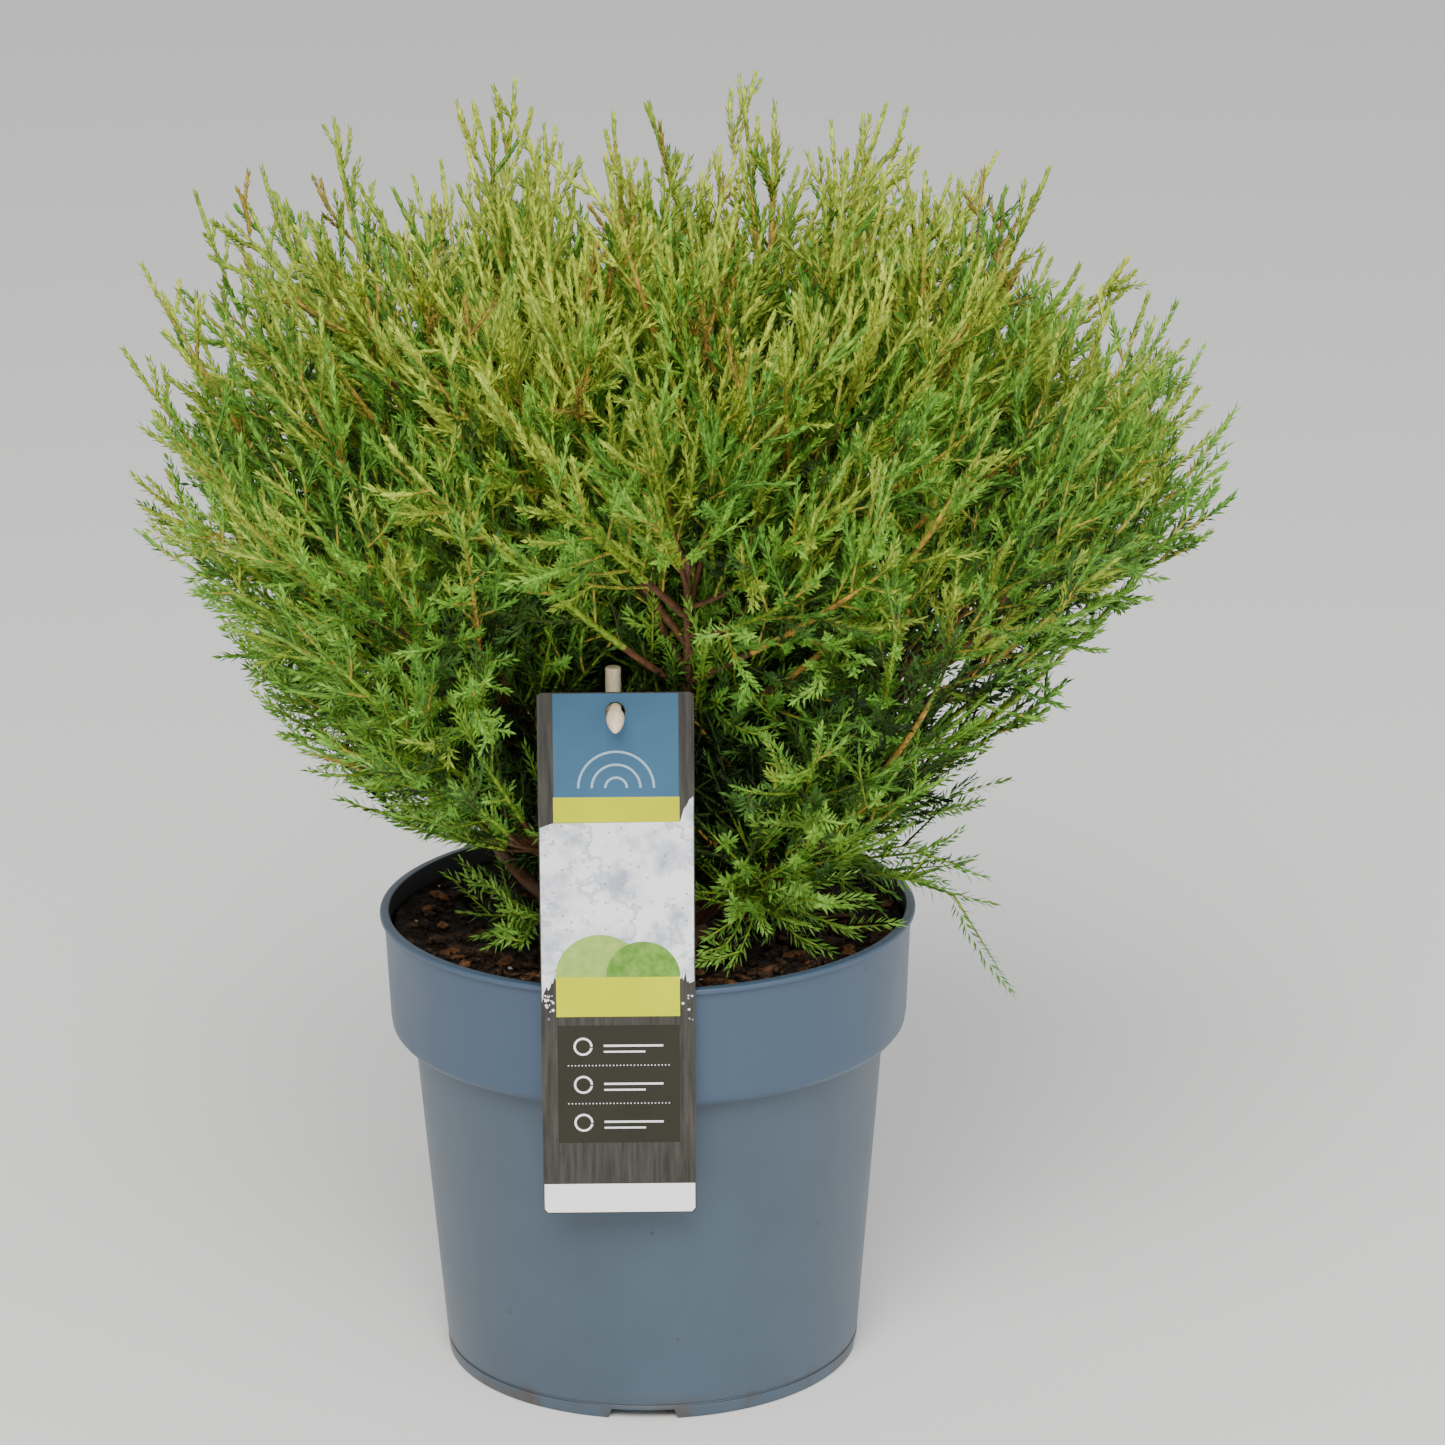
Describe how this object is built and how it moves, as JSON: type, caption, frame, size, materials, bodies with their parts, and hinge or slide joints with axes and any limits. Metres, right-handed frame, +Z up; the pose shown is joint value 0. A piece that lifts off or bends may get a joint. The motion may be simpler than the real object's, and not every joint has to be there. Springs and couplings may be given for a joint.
{
  "type": "potted arborvitae",
  "caption": "Round dwarf arborvitae with fine thread-like foliage, standing in a round plastic nursery pot with a plain card hung on a wooden peg.",
  "frame": {"origin": "centre of the pot's flat underside, on the surface that it stands on", "axes": "+Z up through the pot; the card hangs on the front, towards -Y; +X is the plant's right as seen from the front"},
  "size_m": [0.4043, 0.4008, 0.4601],
  "materials": {
    "pot_plastic": "slate-blue injection-moulded plastic, satin",
    "potting_soil": "dark moist potting soil with bark chips",
    "bark": "thin red-brown fibrous bark",
    "foliage": "fine yellow-green to deep green scale and needle leaves",
    "printed_card": "smooth printed card, satin",
    "pale_wood": "bare pale wood"
  },
  "bodies": {
    "root": {"pot": "pot_plastic", "soil": "potting_soil", "trunk": "bark", "bough_low_1": "bark", "bough_low_2": "bark", "bough_low_3": "bark", "bough_low_4": "bark", "bough_low_5": "bark", "bough_low_6": "bark", "bough_low_7": "bark", "bough_middle_1": "bark", "bough_middle_2": "bark", "bough_middle_3": "bark", "bough_middle_4": "bark", "bough_middle_5": "bark", "bough_middle_6": "bark", "bough_middle_7": "bark", "bough_middle_8": "bark", "bough_upper_1": "bark", "bough_upper_2": "bark", "bough_upper_3": "bark", "bough_upper_4": "bark", "bough_upper_5": "bark", "bough_upper_6": "bark", "bough_top": "bark", "bough_soil_left": "bark", "bough_soil_right": "bark", "bough_rim_right": "bark", "foliage_low_1": "foliage", "foliage_low_2": "foliage", "foliage_low_3": "foliage", "foliage_low_4": "foliage", "foliage_low_5": "foliage", "foliage_low_6": "foliage", "foliage_low_7": "foliage", "foliage_middle_1": "foliage", "foliage_middle_2": "foliage", "foliage_middle_3": "foliage", "foliage_middle_4": "foliage", "foliage_middle_5": "foliage", "foliage_middle_6": "foliage", "foliage_middle_7": "foliage", "foliage_middle_8": "foliage", "foliage_upper_1": "foliage", "foliage_upper_2": "foliage", "foliage_upper_3": "foliage", "foliage_upper_4": "foliage", "foliage_upper_5": "foliage", "foliage_upper_6": "foliage", "foliage_top": "foliage", "foliage_soil_left": "foliage", "foliage_soil_right": "foliage", "foliage_rim_right": "foliage", "label_card": "printed_card", "label_stick": "pale_wood"}
  },
  "joints": []
}
